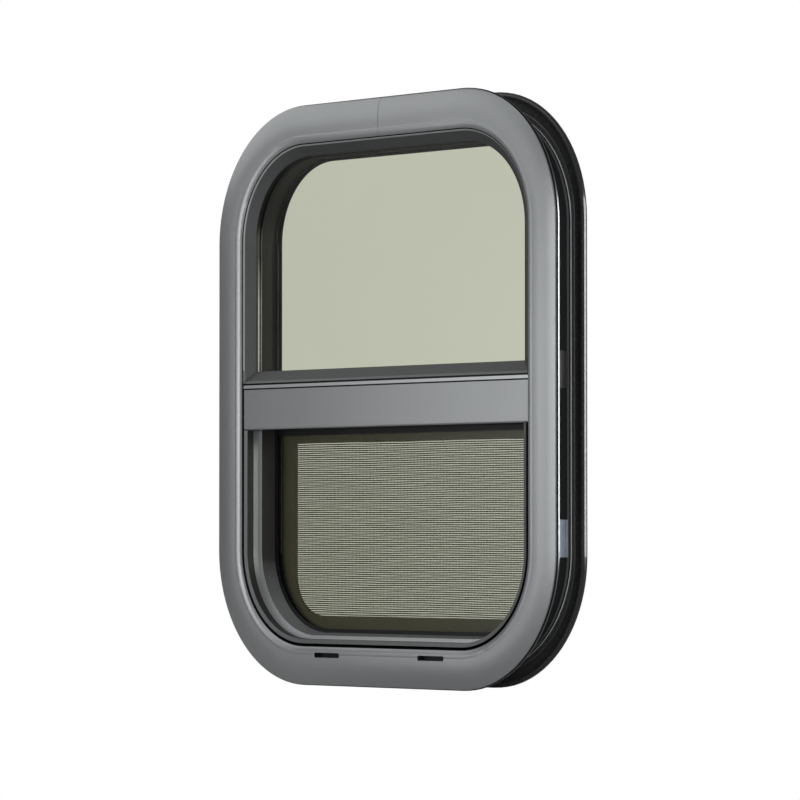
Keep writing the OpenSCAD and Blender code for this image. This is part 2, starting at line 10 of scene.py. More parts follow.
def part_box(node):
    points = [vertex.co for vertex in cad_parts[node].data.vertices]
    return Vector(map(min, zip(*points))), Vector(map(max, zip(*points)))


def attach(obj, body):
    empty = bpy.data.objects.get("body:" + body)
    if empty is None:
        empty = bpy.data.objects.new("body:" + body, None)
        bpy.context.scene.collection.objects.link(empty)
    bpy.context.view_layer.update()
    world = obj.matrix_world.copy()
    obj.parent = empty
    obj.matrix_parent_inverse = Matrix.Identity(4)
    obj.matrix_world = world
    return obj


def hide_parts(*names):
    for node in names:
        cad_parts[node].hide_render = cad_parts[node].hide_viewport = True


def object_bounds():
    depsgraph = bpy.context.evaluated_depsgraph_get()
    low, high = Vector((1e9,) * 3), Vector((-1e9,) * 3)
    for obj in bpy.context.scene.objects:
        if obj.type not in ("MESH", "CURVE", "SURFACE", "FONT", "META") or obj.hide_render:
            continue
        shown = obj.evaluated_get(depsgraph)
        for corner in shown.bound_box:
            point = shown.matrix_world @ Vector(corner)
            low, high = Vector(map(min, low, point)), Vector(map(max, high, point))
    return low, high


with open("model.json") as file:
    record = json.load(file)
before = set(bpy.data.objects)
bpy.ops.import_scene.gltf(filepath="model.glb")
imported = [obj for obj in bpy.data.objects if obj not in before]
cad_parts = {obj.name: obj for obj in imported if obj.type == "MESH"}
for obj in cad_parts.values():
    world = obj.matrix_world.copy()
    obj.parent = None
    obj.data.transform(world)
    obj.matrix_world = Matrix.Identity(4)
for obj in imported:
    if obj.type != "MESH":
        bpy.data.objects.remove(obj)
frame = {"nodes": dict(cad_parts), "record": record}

cad_lo, cad_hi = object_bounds()
random.seed(11)
rng = np.random.default_rng(11)

MM = 0.001


# Material helpers

def shade(color, factor, lift=0.0):
    return tuple(min(c * factor + lift, 1.0) for c in color)


class Mat:
    """A node material whose nodes are added by short calls."""

    def __init__(self, name):
        self.mat = bpy.data.materials.new(name)
        self.mat.use_nodes = True
        self.tree = self.mat.node_tree
        self.tree.nodes.clear()
        self.out = self.tree.nodes.new("ShaderNodeOutputMaterial")
        self.coord = self.tree.nodes.new("ShaderNodeTexCoord").outputs["Object"]

    def node(self, kind, **inputs):
        n = self.tree.nodes.new(kind)
        for key, value in inputs.items():
            self.set(n.inputs[key.replace("_", " ")], value)
        return n

    def set(self, socket, value):
        if isinstance(value, bpy.types.NodeSocket):
            self.tree.links.new(value, socket)
        else:
            socket.default_value = value

    def set_color(self, socket, value):
        self.set(socket, value if isinstance(value, bpy.types.NodeSocket) else (*value, 1.0))

    def math(self, op, a, b=None):
        n = self.tree.nodes.new("ShaderNodeMath")
        n.operation = op
        self.set(n.inputs[0], a)
        if b is not None:
            self.set(n.inputs[1], b)
        return n.outputs[0]

    def axes(self):
        """The three coordinates in millimetres, and the normal's three parts."""
        geometry = self.node("ShaderNodeNewGeometry")
        place = self.node("ShaderNodeSeparateXYZ", Vector=self.coord)
        normal = self.node("ShaderNodeSeparateXYZ", Vector=geometry.outputs["Normal"])
        coords = [self.math("MULTIPLY", place.outputs[k], 1000.0) for k in range(3)]
        return coords + [normal.outputs[k] for k in range(3)]

    def facing_out(self, x, z, nx, nz):
        """Over 0 where a face looks away from the window's middle, under 0 where it looks at it."""
        return self.math("ADD", self.math("MULTIPLY", x, nx), self.math("MULTIPLY", z, nz))

    def over(self, value, limit):
        return self.math("GREATER_THAN", value, limit)

    def under(self, value, limit):
        return self.math("LESS_THAN", value, limit)

    def within(self, value, span):
        low, high = span
        return self.math("MULTIPLY", self.over(value, low), self.under(value, high))

    def both(self, *masks):
        out = masks[0]
        for mask in masks[1:]:
            out = self.math("MULTIPLY", out, mask)
        return out

    def either(self, *masks):
        out = masks[0]
        for mask in masks[1:]:
            out = self.math("MAXIMUM", out, mask)
        return out

    def level(self, fac, a, b):
        """Plain number that goes from a to b with fac."""
        n = self.tree.nodes.new("ShaderNodeMix")
        n.data_type = "FLOAT"
        self.set(n.inputs["Factor"], fac)
        self.set(n.inputs["A"], a)
        self.set(n.inputs["B"], b)
        return n.outputs["Result"]

    def scaled(self, factors):
        n = self.node("ShaderNodeMapping", Vector=self.coord)
        n.inputs["Scale"].default_value = factors
        return n.outputs[0]

    def noise(self, scale, detail, rough, vector=None):
        n = self.node("ShaderNodeTexNoise", Vector=self.coord if vector is None else vector)
        n.inputs["Scale"].default_value = scale
        n.inputs["Detail"].default_value = detail
        n.inputs["Roughness"].default_value = rough
        return n.outputs["Fac"]

    def between(self, fac, low, high, from_low=0.3, from_high=0.7):
        """From low to high as fac goes over its range; a noise stays mostly within 0.3 to 0.7."""
        n = self.node("ShaderNodeMapRange", Value=fac)
        n.inputs["From Min"].default_value = from_low
        n.inputs["From Max"].default_value = from_high
        n.inputs["To Min"].default_value = low
        n.inputs["To Max"].default_value = high
        return n.outputs["Result"]

    def mix(self, fac, a, b):
        n = self.tree.nodes.new("ShaderNodeMix")
        n.data_type = "RGBA"
        self.set(n.inputs["Factor"], fac)
        self.set_color(n.inputs["A"], a)
        self.set_color(n.inputs["B"], b)
        return n.outputs["Result"]

    def drifting(self, fac, color, low, high):
        """The colour times low to high, as a noise goes over the surface."""
        return self.mix(self.between(fac, 0.0, 1.0), shade(color, low), shade(color, high))

    def bump(self, height, strength, distance):
        n = self.node("ShaderNodeBump", Height=height)
        n.inputs["Strength"].default_value = strength
        n.inputs["Distance"].default_value = distance
        return n.outputs["Normal"]

    def surface(self, color, rough, normal, metal=0.0, coat=0.0, coat_rough=0.05, spec=0.5):
        n = self.tree.nodes.new("ShaderNodeBsdfPrincipled")
        self.set_color(n.inputs["Base Color"], color)
        self.set(n.inputs["Roughness"], rough)
        self.set(n.inputs["Metallic"], metal)
        self.set(n.inputs["Specular IOR Level"], spec)
        self.set(n.inputs["Coat Weight"], coat)
        self.set(n.inputs["Coat Roughness"], coat_rough)
        if normal is not None:
            self.set(n.inputs["Normal"], normal)
        self.tree.links.new(n.outputs[0], self.out.inputs["Surface"])
        return self.mat

    def blend(self, fac, first, second):
        """Ends the material in a mix of two shaders."""
        mixer = self.node("ShaderNodeMixShader")
        self.set(mixer.inputs["Fac"], fac)
        self.tree.links.new(first.outputs[0], mixer.inputs[1])
        self.tree.links.new(second.outputs[0], mixer.inputs[2])
        self.tree.links.new(mixer.outputs[0], self.out.inputs["Surface"])
        return self.mat


# Finish of the frame and bar; places are in millimetres, and a pair is a low and a high value

FACES_OUT, FACES_FAR_OUT, FACES_IN = 1.0, 100.0, -60.0
SEAT_Y = 0.05                               # just behind the flange's seat, where the sleeve begins
RIM_Y = (-3.4, -1.45)                       # side of the flange, made black as a painted dark reflection
EDGE_Y = (-1.45, SEAT_Y)                    # its last edge, made pale and metallic as a painted highlight
UNDERCUT_Y = (-4.4, 4.4)                    # groove between the face and the beads
REBATE_Y = (4.5, 12.7)                      # wall that shows round the lower opening
JAMB_FROM_Y = 12.75                         # jamb behind the panes
RIB_Y, LAST_RIB_Y = (27.9, 30.7), (32.7, 34.1)
BACK_FROM_Y = -0.95                         # faces behind this that look into the room are black
SLOT_X, SLOT_Z, SLOT_FROM_Y = (57.4, 94.6), (-258.1, -253.1), -6.6
BAR_Z, BAR_HALF, BAR_REAR_Y = (-34.5, 20.6), 211.0, -0.9
BAR_FACE_HALF, BAR_FACE_Y = 209.4, -2.93
BAR_GROOVES_Z = ((6.52, 7.98), (11.02, 13.9))
BAR_STRIP_Z, BAR_STRIP_Y = (8.02, 10.98), -2.9
NOTCH_FROM_X, NOTCH_Z, NOTCH_TO_Y = 207.85, (-34.0, 7.0), 0.5
UNDER_BAR_Z = -34.6                         # what lies below this is under the bar
OVER_BAR_FOOT_Z = -34.0


def frame_finish(name, color):
    """Dark satin finish: metallic on the faces and black on the sleeve, with painted shade in the
    recesses and painted highlights on edges and rib faces.
    """
    m = Mat(name)
    x, y, z, nx, ny, nz = m.axes()
    far_x = m.math("ABSOLUTE", x)
    side = m.facing_out(x, z, nx, nz)
    outward = m.over(side, FACES_OUT)
    inward = m.under(side, FACES_IN)

    sleeve = m.both(outward, m.over(y, SEAT_Y))
    back = m.both(m.over(ny, 0.5), m.over(y, BACK_FROM_Y))
    near_bar = m.both(m.within(z, BAR_Z), m.under(far_x, BAR_HALF))
    level_face = m.over(m.math("ABSOLUTE", nz), 0.7)
    # Painted shade: the bar's level faces behind its front are made black.
    bar_rear = m.both(near_bar, m.over(y, BAR_REAR_Y), level_face)
    behind_face = m.both(m.under(far_x, BAR_FACE_HALF), m.over(y, BAR_FACE_Y))
    # Painted shade, made black: the bar's grooves, its end notches, the undercut beside the beads
    # and the weep slots; on the flange's rim, a painted dark reflection.
    groove = m.both(behind_face, m.either(*(m.within(z, span) for span in BAR_GROOVES_Z)))
    notch = m.both(behind_face, m.over(far_x, NOTCH_FROM_X), m.within(z, NOTCH_Z),
                   m.under(y, NOTCH_TO_Y))
    undercut = m.both(inward, m.within(y, UNDERCUT_Y))
    far_out = m.over(m.math("ABSOLUTE", side), FACES_FAR_OUT)
    rim = m.both(outward, m.within(y, RIM_Y), far_out)
    slot = m.both(m.within(far_x, SLOT_X), m.within(z, SLOT_Z), m.over(y, SLOT_FROM_Y))
    # black: the sleeve's and back's own black paint, and the painted shade above
    black = m.either(sleeve, back, bar_rear, groove, notch, undercut, rim, slot)

    # Painted shade: the jamb behind the panes is dark, partly its own finish; faces turned up keep
    # the frame's grey as painted light from above
    deep = m.both(m.over(y, JAMB_FROM_Y), m.between(nz, 1.0, 0.0, 0.1, 0.7))
    # Painted highlight: the flange's last outer edge is made pale and metallic.
    flange_glint = m.both(outward, m.within(y, EDGE_Y), m.under(m.math("ABSOLUTE", ny), 0.5))
    # Painted highlights: the wall round the lower opening and the bar's narrow band are made
    # lighter.
    lower_wall_glint = m.both(m.under(z, UNDER_BAR_Z), m.within(y, REBATE_Y))
    bar_strip_glint = m.both(m.under(far_x, BAR_FACE_HALF), m.within(z, BAR_STRIP_Z), m.under(y, BAR_STRIP_Y))
    # Painted highlights: the sleeve's rib faces are made lighter, the last one much lighter.
    rib_glint = m.both(sleeve, m.within(y, RIB_Y))
    last_rib_glint = m.both(sleeve, m.within(y, LAST_RIB_Y))

    peel = m.noise(1100.0, 2.0, 0.5)
    scuff = m.noise(60.0, 6.0, 0.7, m.scaled((1.0, 1.0, 0.25)))
    worn = m.between(scuff, 0.0, 0.12, 0.62, 0.8)
    # The jamb's painted dark is a little lighter above the bar's foot than below it.
    jamb = m.mix(m.over(z, OVER_BAR_FOOT_Z), (0.022, 0.021, 0.02), (0.04, 0.038, 0.034))
    base = m.drifting(m.noise(7.0, 4.0, 0.6), color, 0.97, 1.03)
    base = m.mix(worn, base, shade(color, 1.3))
    # painted highlight on the flange's edge
    base = m.mix(flange_glint, base, (0.3, 0.31, 0.32))
    # painted highlights on the wall round the lower opening and the bar's band
    base = m.mix(m.either(lower_wall_glint, bar_strip_glint), base, shade(color, 1.45))
    # painted shade in the jamb
    base = m.mix(deep, base, jamb)
    # black paint and painted shade
    base = m.mix(black, base, (0.008, 0.008, 0.009))
    base = m.mix(sleeve, base, (0.025, 0.027, 0.028))
    # painted highlights on the rib faces
    base = m.mix(rib_glint, base, (0.12, 0.125, 0.13))
    base = m.mix(last_rib_glint, base, (0.75, 0.76, 0.78))

    dark = m.either(black, deep)
    plain = m.math("ADD", m.between(peel, 0.33, 0.39), m.math("MULTIPLY", worn, 0.4))
    rough = m.level(dark, m.level(flange_glint, plain, 0.28), m.level(bar_rear, 0.4, 0.9))
    metal = m.level(dark, m.level(flange_glint, 0.6, 0.95), 0.0)
    return m.surface(base, rough, m.bump(peel, 0.35, 0.00002), metal, spec=m.level(black, 0.5, 0.2))


# Finish of the beads, placed in the same way

PANE_BEAD_FROM_Z, PANE_BEAD_EDGE_Y = 26.0, -3.1
BAR_BEAD_Z, BAR_BEAD_FRONT_Y = (11.0, PANE_BEAD_FROM_Z), -2.7
LOW_BEAD_TO_Z, LOW_BEAD_FRONT_Y = -30.0, -2.6
BEAD_FACES_OUT = 30.0


def bead_finish(name, color):
    """Satin bead: a painted highlight line on its raised edge, painted light on its fronts, and
    painted shade in the gap beside it.
    """
    m = Mat(name)
    x, y, z, nx, ny, nz = m.axes()
    # Painted shade: faces toward the frame, beside the bead, are made black.
    gap = m.over(m.facing_out(x, z, nx, nz), BEAD_FACES_OUT)
    # Painted highlight: a pale line along the raised edge of the upper pane's bead.
    raised = m.both(m.over(z, PANE_BEAD_FROM_Z), m.under(y, PANE_BEAD_EDGE_Y))
    # Painted light: the bead's front along the bar is made paler, as lit from above.
    front = m.both(m.within(z, BAR_BEAD_Z), m.under(y, BAR_BEAD_FRONT_Y))
    upright_face = m.over(m.math("ABSOLUTE", ny), 0.5)
    # Painted light: the lower bead's upright fronts are made paler.
    low = m.both(m.under(z, LOW_BEAD_TO_Z), m.under(y, LOW_BEAD_FRONT_Y), upright_face)
    peel = m.noise(1800.0, 2.0, 0.55)
    base = m.drifting(m.noise(12.0, 4.0, 0.6), color, 0.93, 1.07)
    # painted light on the lower fronts, then on the front along the bar
    base = m.mix(low, base, shade(color, 2.4))
    base = m.mix(front, base, shade(color, 2.2))
    # painted highlight on the raised edge
    base = m.mix(raised, base, (0.3, 0.305, 0.31))
    # painted shade beside the bead
    base = m.mix(gap, base, (0.006, 0.006, 0.006))
    metal = m.level(gap, 0.3, 0.0)
    return m.surface(base, m.between(peel, 0.36, 0.46), m.bump(peel, 0.4, 0.00003), metal)


# Finishes of the other pieces

def powder_coat(name, color, rough):
    """Satin powder coat: fine orange peel, slow tone drift and faint scuffs."""
    m = Mat(name)
    peel = m.noise(1400.0, 2.0, 0.55)
    scuff = m.noise(60.0, 6.0, 0.7, m.scaled((1.0, 1.0, 0.25)))
    worn = m.between(scuff, 0.0, 0.16, 0.6, 0.8)
    base = m.drifting(m.noise(9.0, 4.0, 0.6), color, 0.95, 1.05)
    base = m.mix(worn, base, shade(color, 1.5, 0.02))
    even = m.between(peel, rough - 0.04, rough + 0.04)
    roughness = m.math("ADD", even, m.math("MULTIPLY", worn, 0.5))
    return m.surface(base, roughness, m.bump(peel, 0.5, 0.00003))


TRACK_EDGE_X = (194.4, 194.6)     # edge of the side tracks, given a painted highlight
TRACK_EDGE_FROM_Y, TRACK_EDGE_TO_Z = 33.0, -40.0


def anodised(name, color, rough, along, with_track_glint=False):
    """Anodised or mill-finish extrusion: fine draw lines, and on the tracks a painted highlight
    along an edge.
    """
    m = Mat(name)
    lines = m.noise(900.0, 3.0, 0.6, m.scaled(along))
    base = m.drifting(m.noise(14.0, 3.0, 0.5), color, 0.9, 1.1)
    if with_track_glint:
        x, y, z = m.axes()[:3]
        # Painted highlight: a light line along the track's edge.
        edge = m.both(m.within(m.math("ABSOLUTE", x), TRACK_EDGE_X),
                      m.over(y, TRACK_EDGE_FROM_Y), m.under(z, TRACK_EDGE_TO_Z))
        base = m.mix(edge, base, (0.5, 0.5, 0.5))
    roughness = m.between(lines, rough - 0.06, rough + 0.08)
    return m.surface(base, roughness, m.bump(lines, 0.35, 0.00003), 0.9)


def moulded(name, color, rough):
    """Moulded plastic with a fine spark-eroded grain."""
    m = Mat(name)
    fine = m.noise(1800.0, 3.0, 0.6)
    base = m.drifting(m.noise(30.0, 2.0, 0.5), color, 0.92, 1.08)
    roughness = m.between(fine, rough - 0.05, rough + 0.06)
    return m.surface(base, roughness, m.bump(fine, 0.4, 0.00005))


LIP_TO_X, LIP_FROM_Y = -190.0, 6.0
LIP_FADE_Z = (140.0, 90.0)        # the painted highlight grows from the first height down to the second


def rubber(name, color, rough):
    """Black rubber with a little dust, and a painted highlight on its inner face at the left."""
    m = Mat(name)
    x, y, z, nx, ny, nz = m.axes()
    fine = m.noise(900.0, 4.0, 0.6)
    dust = m.between(m.noise(120.0, 5.0, 0.7), 0.0, 0.25, 0.55, 0.8)
    # Painted highlight on the inner face at the left, fading in over the given heights.
    glint_fade = m.between(z, 0.0, 1.0, *LIP_FADE_Z)
    lip_glint = m.both(m.over(nx, 0.7), m.under(x, LIP_TO_X), m.over(y, LIP_FROM_Y), glint_fade)
    base = m.mix(dust, color, shade(color, 2.2, 0.01))
    base = m.mix(lip_glint, base, (0.75, 0.75, 0.72))
    roughness = m.between(fine, rough, rough + 0.15)
    return m.surface(base, roughness, m.bump(fine, 0.3, 0.00004), spec=0.4)


def tinted_glass(name, tint):
    """Tinted pane: each face passes the square root of the tint and reflects a little, softly."""
    m = Mat(name)
    haze = m.noise(22.0, 4.0, 0.6)
    one_face = tuple(math.sqrt(c) for c in tint)
    through = m.node("ShaderNodeBsdfTransparent", Color=m.drifting(haze, one_face, 0.997, 1.0))
    gloss = m.node("ShaderNodeBsdfGlossy", Roughness=m.between(haze, 0.28, 0.34),
                   Color=(0.95, 0.97, 0.93, 1.0))
    fresnel = m.node("ShaderNodeFresnel", IOR=1.4)
    front = m.math("SUBTRACT", 1.0, m.node("ShaderNodeNewGeometry").outputs["Backfacing"])
    return m.blend(m.both(fresnel.outputs[0], front), through, gloss)


RING_FACE_Y = 38.4                # the ring's faces toward the wall lie in front of this


def gloss_paint(name, color):
    """Gloss black ring paint: soft orange peel under a clear coat; faces toward the wall are grey
    and uncoated, painted light for the flange's shade.
    """
    m = Mat(name)
    x, y, z, nx, ny, nz = m.axes()
    peel = m.noise(260.0, 2.0, 0.5)
    dust = m.between(m.noise(420.0, 6.0, 0.75), 0.0, 0.06, 0.62, 0.8)
    # Painted light: the faces toward the wall, in the flange's shade, are made grey.
    wall_side_fill = m.both(m.under(ny, -0.5), m.under(y, RING_FACE_Y))
    grey = m.mix(m.between(peel, 0.0, 1.0), (0.075, 0.077, 0.078), (0.095, 0.097, 0.098))
    base = m.mix(wall_side_fill, m.mix(dust, color, (0.4, 0.4, 0.4)), grey)
    return m.surface(base, m.between(peel, 0.2, 0.28), m.bump(peel, 0.25, 0.00004),
                     coat=m.level(wall_side_fill, 0.5, 0.0), coat_rough=0.08)


def two_tone_plastic(name, low_color, high_color, split):
    """Moulded clips: the lower one is pale, the upper one is dark."""
    m = Mat(name)
    place = m.node("ShaderNodeSeparateXYZ", Vector=m.coord)
    fine = m.noise(1600.0, 3.0, 0.6)
    base = m.mix(m.over(place.outputs["Z"], split), low_color, high_color)
    tone = m.node("ShaderNodeVectorMath", Vector=base)
    tone.operation = "SCALE"
    m.set(tone.inputs["Scale"], m.between(m.noise(80.0, 3.0, 0.6), 0.88, 1.1))
    return m.surface(tone.outputs[0], m.between(fine, 0.4, 0.52), m.bump(fine, 0.4, 0.00005))


def brushed(name, color):
    """Plated steel: fine turning lines and a few dull spots."""
    m = Mat(name)
    lines = m.noise(500.0, 3.0, 0.6, m.scaled((0.06, 1.0, 1.0)))
    spots = m.between(m.noise(200.0, 5.0, 0.7), 0.0, 0.4, 0.55, 0.8)
    base = m.mix(spots, color, shade(color, 0.6))
    return m.surface(base, m.between(lines, 0.24, 0.44), m.bump(lines, 0.3, 0.00003), 1.0)


def fibre(name, color):
    """Dull fibres or coated wires whose tone changes from one to the next."""
    m = Mat(name)
    tone = m.noise(2500.0, 2.0, 0.5)
    base = m.drifting(tone, color, 0.6, 1.5)
    return m.surface(base, m.between(tone, 0.75, 0.9), None, spec=0.2)


ALONG_X, ALONG_Z = (0.05, 1.0, 1.0), (1.0, 1.0, 0.05)

materials = {
    "frame_paint": frame_finish("frame_paint", (0.34, 0.353, 0.36)),
    "ring_paint": gloss_paint("ring_paint", (0.03, 0.031, 0.032)),
    "bronze_paint": powder_coat("bronze_paint", (0.24, 0.21, 0.17), 0.5),
    "track_metal": anodised("track_metal", (0.03, 0.03, 0.031), 0.4, ALONG_Z, with_track_glint=True),
    "bare_metal": anodised("bare_metal", (0.74, 0.75, 0.77), 0.34, ALONG_X),
    "screw_steel": brushed("screw_steel", (0.62, 0.62, 0.6)),
    "tinted_glass": tinted_glass("tinted_glass", (0.5, 0.516, 0.413)),
    "gasket": rubber("gasket", (0.012, 0.012, 0.012), 0.22),
    "bead": bead_finish("bead", (0.055, 0.057, 0.058)),
    "pile": fibre("pile", (0.05, 0.05, 0.052)),
    "clip_plastic": two_tone_plastic("clip_plastic", (0.4, 0.46, 0.55), (0.06, 0.06, 0.065), -0.05),
    "latch_plastic": moulded("latch_plastic", (0.02, 0.02, 0.021), 0.42),
    "insect_mesh": fibre("insect_mesh", (0.15, 0.155, 0.05)),
}


def paint(obj, slot_name):
    obj.data.materials.clear()
    obj.data.materials.append(materials[slot_name])


for part in frame["record"]["subparts"]:
    paint(frame["nodes"][part["node"]], part["material_slot"])


def link_mesh(name, verts, faces):
    mesh = bpy.data.meshes.new(name)
    mesh.from_pydata([tuple(v) for v in verts], [], [tuple(f) for f in faces])
    obj = bpy.data.objects.new(name, mesh)
    bpy.context.scene.collection.objects.link(obj)
    return obj


def mesh_piece(name, verts, faces, slot_name):
    """A smooth mesh from lists, riding on the window and finished from one material slot."""
    obj = link_mesh(name, verts, faces)
    obj.data.validate()
    for poly in obj.data.polygons:
        poly.use_smooth = True
    paint(obj, slot_name)
    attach(obj, "root")
    return obj


# Woven insect mesh, in the space of the plain sheet

PITCH = 2.1 * MM
MESH_CORNER = 42.2 * MM           # radius of its lower corners
WEFT_HALF, WARP_HALF = 0.56 * MM, 0.2 * MM
WIRE_THICK = 0.12 * MM            # half thickness of both kinds of wire
WEAVE = 0.06 * MM                 # how far a wire goes to each side as it crosses another
END_MARGIN = 0.5 * MM             # no crossing lies nearer than this to a wire's end
SLOW_DRIFT, FAST_DRIFT = 0.22 * MM, 0.1 * MM

mesh_lo, mesh_hi = (Vector(corner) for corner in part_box("screen_mesh"))
mesh_half = (mesh_hi.x - mesh_lo.x) / 2
mid_y = (mesh_lo.y + mesh_hi.y) / 2
xs = np.arange(mesh_lo.x + PITCH * 0.7, mesh_hi.x, PITCH)
zs = np.arange(mesh_lo.z + PITCH * 0.7, mesh_hi.z, PITCH)
phase = rng.uniform(0, 2 * math.pi, len(zs))


def round_off(over):
    """How far a round lower corner cuts in, for a point that lies over past its arc's start."""
    if over <= 0:
        return 0.0
    return MESH_CORNER - math.sqrt(max(MESH_CORNER * MESH_CORNER - over * over, 0.0))


def span_at(z):
    return mesh_half - round_off(mesh_lo.z + MESH_CORNER - z)


def low_at(x):
    return mesh_lo.z + round_off(abs(x) - (mesh_half - MESH_CORNER))


def wave(x, j):
    """Small drift of a weft row, as in mesh that was stretched by hand."""
    slow = SLOW_DRIFT * math.sin(x * 31 + 0.9 * math.sin(j * 0.21))
    return slow + FAST_DRIFT * math.sin(x * 117 + phase[j])


def wire_mesh(name, runs, half_wide):
    """Four-sided wires along lists of points, turned so that their edges catch the light."""
    verts, faces = [], []
    for points in runs:
        p = np.asarray(points)
        along = np.gradient(p, axis=0)
        along /= np.linalg.norm(along, axis=1)[:, None]
        side = np.cross(along, (0.0, 1.0, 0.0))
        side /= np.linalg.norm(side, axis=1)[:, None]
        up = np.cross(side, along)
        first = len(verts)
        for at, s, u in zip(p, half_wide * side, WIRE_THICK * up):
            verts.extend([at + s, at + u, at - s, at - u])
        for a in range(first, len(verts) - 4, 4):
            faces += [(a + c, a + (c + 1) % 4, a + 4 + (c + 1) % 4, a + 4 + c) for c in range(4)]
        end = len(verts) - 4
        faces.append((first + 3, first + 2, first + 1, first))
        faces.append((end, end + 1, end + 2, end + 3))
    return mesh_piece(name, verts, faces, "insect_mesh")


weft, warp = [], []
for j, z in enumerate(zs):
    reach = span_at(z)
    inside = [x for x in xs if abs(x) < reach - END_MARGIN]
    points = [(x, mid_y + (WEAVE if (i + j) % 2 else -WEAVE), z + wave(x, j))
              for i, x in enumerate(inside)]
    weft.append([(-reach, mid_y, z)] + points + [(reach, mid_y, z)])
for i, x in enumerate(xs):
    low = low_at(x)
    inside = [j for j, z in enumerate(zs) if z > low + END_MARGIN]
    points = [(x, mid_y + (-WEAVE if (i + j) % 2 else WEAVE), zs[j]) for j in inside]
    warp.append([(x, mid_y, low)] + points + [(x, mid_y, mesh_hi.z)])
mesh_weft = wire_mesh("mesh_weft", weft, WEFT_HALF)
mesh_warp = wire_mesh("mesh_warp", warp, WARP_HALF)
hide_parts("screen_mesh")


# Ring screws with cross recesses and threads, where the part has its plain ones

FLANGE_X, FLANGE_Z = 247.5 * MM, 285.5 * MM
CORNER_R = 132 * MM               # radius of the flange's corners
SCREW_IN = 31 * MM                # from the flange's edge to the screws
SCREW_X, SCREW_Z = 70 * MM, 110 * MM
HEAD_R, HEAD_T = 3.4 * MM, 1.8 * MM
SHANK_R, SHANK_LEN, THREAD = 1.55 * MM, 10 * MM, 0.5 * MM
THREAD_ROOT = 0.82                # of the shank's radius
HEAD_GAP = 0.02 * MM
RECESS_D = 1.1 * MM
RECESS_ARM_W, RECESS_ARM_LEN = HEAD_R * 0.14, HEAD_R * 0.56
FLAT_RINGS = 10                   # rings in the flat of the head, which the recess is cut into
SIDES = 32


def screw_places():
    """The part's 14 places: three on each side, two above and below, and one in each corner."""
    side_x, end_z = FLANGE_X - SCREW_IN, FLANGE_Z - SCREW_IN
    diagonal = (CORNER_R - SCREW_IN) / math.sqrt(2)
    corner_x, corner_z = FLANGE_X - CORNER_R + diagonal, FLANGE_Z - CORNER_R + diagonal
    out = [(sx * side_x, z) for sx in (-1, 1) for z in (-SCREW_Z, 0, SCREW_Z)]
    out += [(x, sz * end_z) for sz in (-1, 1) for x in (-SCREW_X, SCREW_X)]
    out += [(sx * corner_x, sz * corner_z) for sx in (-1, 1) for sz in (-1, 1)]
    return out


def recess_depth(x, z, turn):
    """How deep the cross recess is at a point of the head's flat."""
    u = abs(x * math.cos(turn) + z * math.sin(turn))
    v = abs(z * math.cos(turn) - x * math.sin(turn))
    across = max(0.0, 1.0 - min(u, v) / RECESS_ARM_W)
    along = max(0.0, 1.0 - max(u, v) / RECESS_ARM_LEN)
    return RECESS_D * min(1.0, 2.0 * across) * min(1.0, 2.2 * along)


def screw_rings():
    """Radius and height of each ring, from the head's middle down the threaded shank."""
    flat = [(HEAD_R * 0.62 * k / (FLAT_RINGS - 1), HEAD_T) for k in range(FLAT_RINGS)]
    head = [(HEAD_R * 0.78, HEAD_T * 0.93), (HEAD_R * 0.92, HEAD_T * 0.72),
            (HEAD_R, HEAD_T * 0.38), (HEAD_R, HEAD_GAP), (SHANK_R, HEAD_GAP)]
    shank = []
    for k in range(int(SHANK_LEN / THREAD)):
        top = -k * THREAD
        shank += [(SHANK_R * THREAD_ROOT, top - 0.12 * MM), (SHANK_R, top - 0.37 * MM)]
    return flat + head + shank + [(SHANK_R * 0.3, -SHANK_LEN)]


def pan_screw(cx, cz, seat, turn):
    verts, faces = [], []
    rings = screw_rings()
    for k, (r, h) in enumerate(rings):
        for s in range(SIDES):
            a = 2 * math.pi * s / SIDES
            x, z = r * math.cos(a), r * math.sin(a)
            d = recess_depth(x, z, turn) if k < FLAT_RINGS else 0.0
            verts.append((cx + x, seat + h - d, cz + z))
    for k in range(len(rings) - 1):
        a, b = k * SIDES, (k + 1) * SIDES
        faces += [(a + s, b + s, b + (s + 1) % SIDES, a + (s + 1) % SIDES) for s in range(SIDES)]
    faces.append(tuple(range(len(verts) - SIDES, len(verts))))
    return verts, faces


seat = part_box("trim_ring_screws")[1][1] - HEAD_T
verts, faces = [], []
for cx, cz in screw_places():
    screw_verts, screw_faces = pan_screw(cx, cz, seat, random.uniform(0, 1.5))
    faces += [tuple(i + len(verts) for i in face) for face in screw_faces]
    verts += screw_verts
screws = mesh_piece("ring_screws", verts, faces, "screw_steel")
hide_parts("trim_ring_screws")


# Floor and world: plain white to the camera; to the part a dull floor and a dim room

FLOOR_HALF, FLOOR_GAP = 6.0, 0.0005


def white_stage(name, tone):
    m = Mat(name)
    glow = m.node("ShaderNodeEmission", Color=(1, 1, 1, 1), Strength=1.0)
    dull = m.node("ShaderNodeBsdfDiffuse", Color=(*tone, 1))
    path = m.node("ShaderNodeLightPath")
    return m.blend(path.outputs["Is Camera Ray"], dull, glow)


